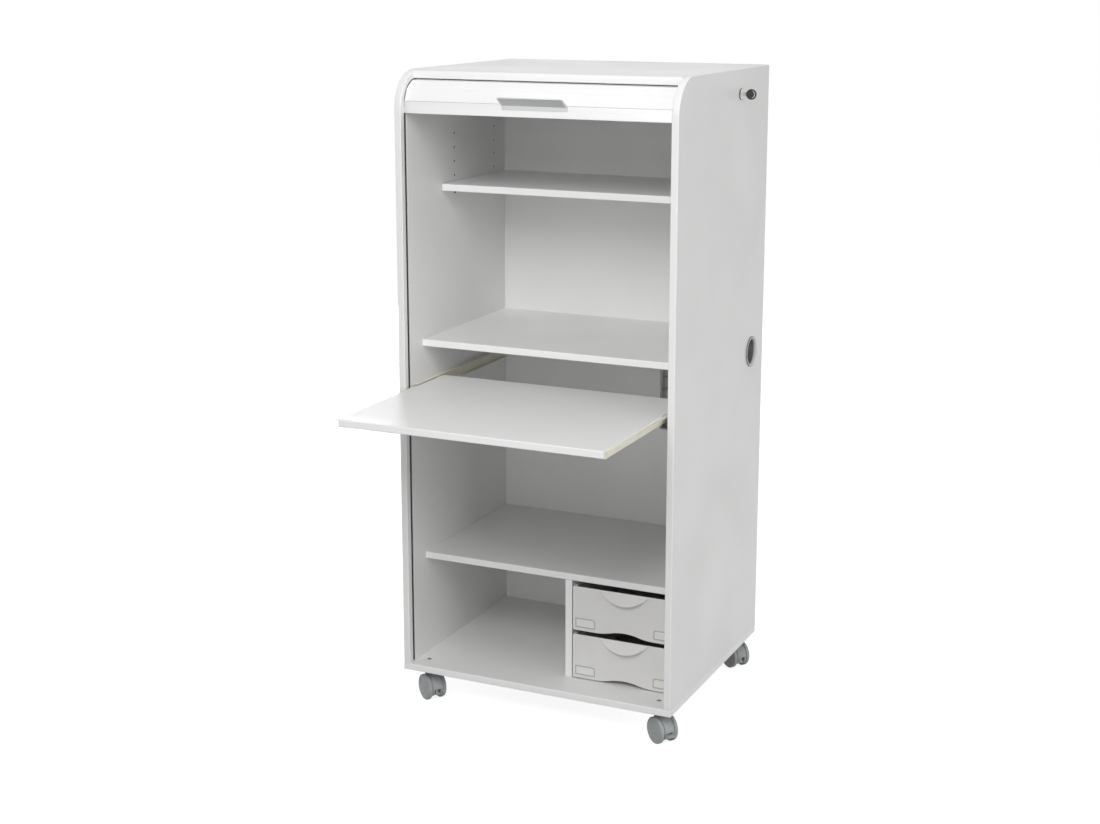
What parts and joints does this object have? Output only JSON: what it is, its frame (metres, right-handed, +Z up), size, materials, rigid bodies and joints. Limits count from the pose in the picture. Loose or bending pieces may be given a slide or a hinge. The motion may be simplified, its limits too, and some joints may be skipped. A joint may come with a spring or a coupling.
{
  "type": "computer armoire",
  "caption": "Mobile computer armoire: white cabinet on twin-wheel casters with a roller shutter that hides under the top, a pull-out desk, shelves and plastic drawers.",
  "frame": {"origin": "on the floor, under the centre of the cabinet's footprint", "axes": "+Z up, -Y to the front where the shutter opens, +X to the side with the lock"},
  "size_m": [0.6905, 0.874, 1.438],
  "materials": {
    "melamine": "white melamine-faced board, satin",
    "dowel": "plain beech",
    "shutter_plastic": "extruded white plastic, satin",
    "bar_aluminium": "light grey anodised",
    "handle_aluminium": "grey anodised",
    "rail_steel": "cream epoxy coating",
    "screw_steel": "zinc plated",
    "nylon": "moulded nylon",
    "drawer_plastic": "moulded ivory plastic, satin",
    "label_plastic": "moulded pale plastic",
    "caster_plastic": "moulded grey plastic",
    "wheel_plastic": "moulded grey nylon",
    "black_plastic": "moulded black plastic",
    "lock_steel": "nickel plated",
    "grommet_plastic": "moulded grey plastic"
  },
  "bodies": {
    "cabinet": {"bottom_panel": "melamine", "left_side_panel": "melamine", "right_side_panel": "melamine", "top_panel": "melamine", "back_panel": "melamine", "upper_inner_back": "melamine", "desk_inner_back": "melamine", "lower_inner_back": "melamine", "upper_shelf": "melamine", "printer_shelf": "melamine", "file_shelf": "melamine", "lower_divider": "melamine", "shelf_pins": "black_plastic", "board_dowels": "dowel", "base_screws": "screw_steel", "cabinet_rail_screws": "screw_steel", "left_cabinet_rail": "rail_steel", "right_cabinet_rail": "rail_steel", "shutter_slats": "shutter_plastic", "drawer_rails": "drawer_plastic", "caster_stems": "screw_steel", "caster_inserts": "screw_steel", "lock_housing": "lock_steel", "cable_grommet": "grommet_plastic"},
    "shutter": {"shutter_bar": "bar_aluminium", "shutter_handle": "handle_aluminium"},
    "desk": {"desk_top": "melamine", "left_desk_rail": "rail_steel", "right_desk_rail": "rail_steel", "desk_rail_screws": "screw_steel"},
    "upper_drawer": {"upper_drawer": "drawer_plastic", "upper_label_holders": "label_plastic"},
    "lower_drawer": {"lower_drawer": "drawer_plastic", "lower_label_holders": "label_plastic"},
    "lock": {"lock_plug": "lock_steel", "lock_key": "black_plastic", "lock_cam": "screw_steel"},
    "left_front_roller": {"left_front_roller": "nylon"},
    "left_rear_roller": {"left_rear_roller": "nylon"},
    "right_front_roller": {"right_front_roller": "nylon"},
    "right_rear_roller": {"right_rear_roller": "nylon"},
    "front_left_caster": {"front_left_caster_hood": "caster_plastic", "front_left_caster_axle": "screw_steel"},
    "front_left_near_wheel": {"front_left_near_wheel": "wheel_plastic"},
    "front_left_far_wheel": {"front_left_far_wheel": "wheel_plastic"},
    "front_right_caster": {"front_right_caster_hood": "caster_plastic", "front_right_caster_axle": "screw_steel"},
    "front_right_near_wheel": {"front_right_near_wheel": "wheel_plastic"},
    "front_right_far_wheel": {"front_right_far_wheel": "wheel_plastic"},
    "rear_left_caster": {"rear_left_caster_hood": "caster_plastic", "rear_left_caster_axle": "screw_steel"},
    "rear_left_near_wheel": {"rear_left_near_wheel": "wheel_plastic"},
    "rear_left_far_wheel": {"rear_left_far_wheel": "wheel_plastic"},
    "rear_right_caster": {"rear_right_caster_hood": "caster_plastic", "rear_right_caster_axle": "screw_steel"},
    "rear_right_near_wheel": {"rear_right_near_wheel": "wheel_plastic"},
    "rear_right_far_wheel": {"rear_right_far_wheel": "wheel_plastic"},
    "front_right_brake": {"front_right_brake_lever": "caster_plastic"},
    "rear_left_brake": {"rear_left_brake_lever": "caster_plastic"}
  },
  "joints": [
    {"name": "shutter_slide", "type": "slide", "parent": "cabinet", "child": "shutter", "axis": [0, 0, -1], "range_m": [0, 0.6], "deforming": ["shutter_slats"]},
    {"name": "desk_slide", "type": "slide", "parent": "cabinet", "child": "desk", "axis": [0, 1, 0], "range_m": [0, 0.34]},
    {"name": "upper_drawer_slide", "type": "slide", "parent": "cabinet", "child": "upper_drawer", "axis": [0, -1, 0], "range_m": [0, 0.28]},
    {"name": "lower_drawer_slide", "type": "slide", "parent": "cabinet", "child": "lower_drawer", "axis": [0, -1, 0], "range_m": [0, 0.28]},
    {"name": "lock_turn", "type": "hinge", "parent": "cabinet", "child": "lock", "pos_m": [0.3275, 0.092, 1.383], "axis": [1, 0, 0], "range_deg": [0, 90]},
    {"name": "left_front_roller_spin", "type": "hinge", "parent": "cabinet", "child": "left_front_roller", "pos_m": [-0.3035, -0.233, 0.728], "axis": [1, 0, 0], "continuous": true},
    {"name": "left_rear_roller_spin", "type": "hinge", "parent": "desk", "child": "left_rear_roller", "pos_m": [-0.3035, -0.147, 0.7295], "axis": [1, 0, 0], "continuous": true},
    {"name": "right_front_roller_spin", "type": "hinge", "parent": "cabinet", "child": "right_front_roller", "pos_m": [0.3035, -0.233, 0.728], "axis": [1, 0, 0], "continuous": true},
    {"name": "right_rear_roller_spin", "type": "hinge", "parent": "desk", "child": "right_rear_roller", "pos_m": [0.3035, -0.147, 0.7295], "axis": [1, 0, 0], "continuous": true},
    {"name": "front_left_swivel", "type": "hinge", "parent": "cabinet", "child": "front_left_caster", "pos_m": [-0.2855, -0.241, 0.06], "axis": [0, 0, 1], "continuous": true},
    {"name": "front_left_near_wheel_spin", "type": "hinge", "parent": "front_left_caster", "child": "front_left_near_wheel", "pos_m": [-0.27403, -0.24903, 0.03], "axis": [0.5736, 0.8192, 0], "continuous": true},
    {"name": "front_left_far_wheel_spin", "type": "hinge", "parent": "front_left_caster", "child": "front_left_far_wheel", "pos_m": [-0.27403, -0.24903, 0.03], "axis": [0.5736, 0.8192, 0], "continuous": true},
    {"name": "front_right_swivel", "type": "hinge", "parent": "cabinet", "child": "front_right_caster", "pos_m": [0.2855, -0.241, 0.06], "axis": [0, 0, 1], "continuous": true},
    {"name": "front_right_near_wheel_spin", "type": "hinge", "parent": "front_right_caster", "child": "front_right_near_wheel", "pos_m": [0.29697, -0.24903, 0.03], "axis": [0.5736, 0.8192, 0], "continuous": true},
    {"name": "front_right_far_wheel_spin", "type": "hinge", "parent": "front_right_caster", "child": "front_right_far_wheel", "pos_m": [0.29697, -0.24903, 0.03], "axis": [0.5736, 0.8192, 0], "continuous": true},
    {"name": "rear_left_swivel", "type": "hinge", "parent": "cabinet", "child": "rear_left_caster", "pos_m": [-0.2855, 0.239, 0.06], "axis": [0, 0, 1], "continuous": true},
    {"name": "rear_left_near_wheel_spin", "type": "hinge", "parent": "rear_left_caster", "child": "rear_left_near_wheel", "pos_m": [-0.27403, 0.23097, 0.03], "axis": [0.5736, 0.8192, 0], "continuous": true},
    {"name": "rear_left_far_wheel_spin", "type": "hinge", "parent": "rear_left_caster", "child": "rear_left_far_wheel", "pos_m": [-0.27403, 0.23097, 0.03], "axis": [0.5736, 0.8192, 0], "continuous": true},
    {"name": "rear_right_swivel", "type": "hinge", "parent": "cabinet", "child": "rear_right_caster", "pos_m": [0.2855, 0.239, 0.06], "axis": [0, 0, 1], "continuous": true},
    {"name": "rear_right_near_wheel_spin", "type": "hinge", "parent": "rear_right_caster", "child": "rear_right_near_wheel", "pos_m": [0.29697, 0.23097, 0.03], "axis": [0.5736, 0.8192, 0], "continuous": true},
    {"name": "rear_right_far_wheel_spin", "type": "hinge", "parent": "rear_right_caster", "child": "rear_right_far_wheel", "pos_m": [0.29697, 0.23097, 0.03], "axis": [0.5736, 0.8192, 0], "continuous": true},
    {"name": "front_right_brake_press", "type": "hinge", "parent": "front_right_caster", "child": "front_right_brake", "pos_m": [0.31007, -0.25821, 0.024], "axis": [0.5736, 0.8192, 0], "range_deg": [0, 15]},
    {"name": "rear_left_brake_press", "type": "hinge", "parent": "rear_left_caster", "child": "rear_left_brake", "pos_m": [-0.26093, 0.22179, 0.024], "axis": [0.5736, 0.8192, 0], "range_deg": [0, 15]}
  ],
  "couplings": [
    {"joint": "left_front_roller_spin", "follows": "desk_slide", "rad_per_m": -117.65},
    {"joint": "left_rear_roller_spin", "follows": "desk_slide", "rad_per_m": -93.458},
    {"joint": "right_front_roller_spin", "follows": "desk_slide", "rad_per_m": -117.65},
    {"joint": "right_rear_roller_spin", "follows": "desk_slide", "rad_per_m": -93.458}
  ]
}
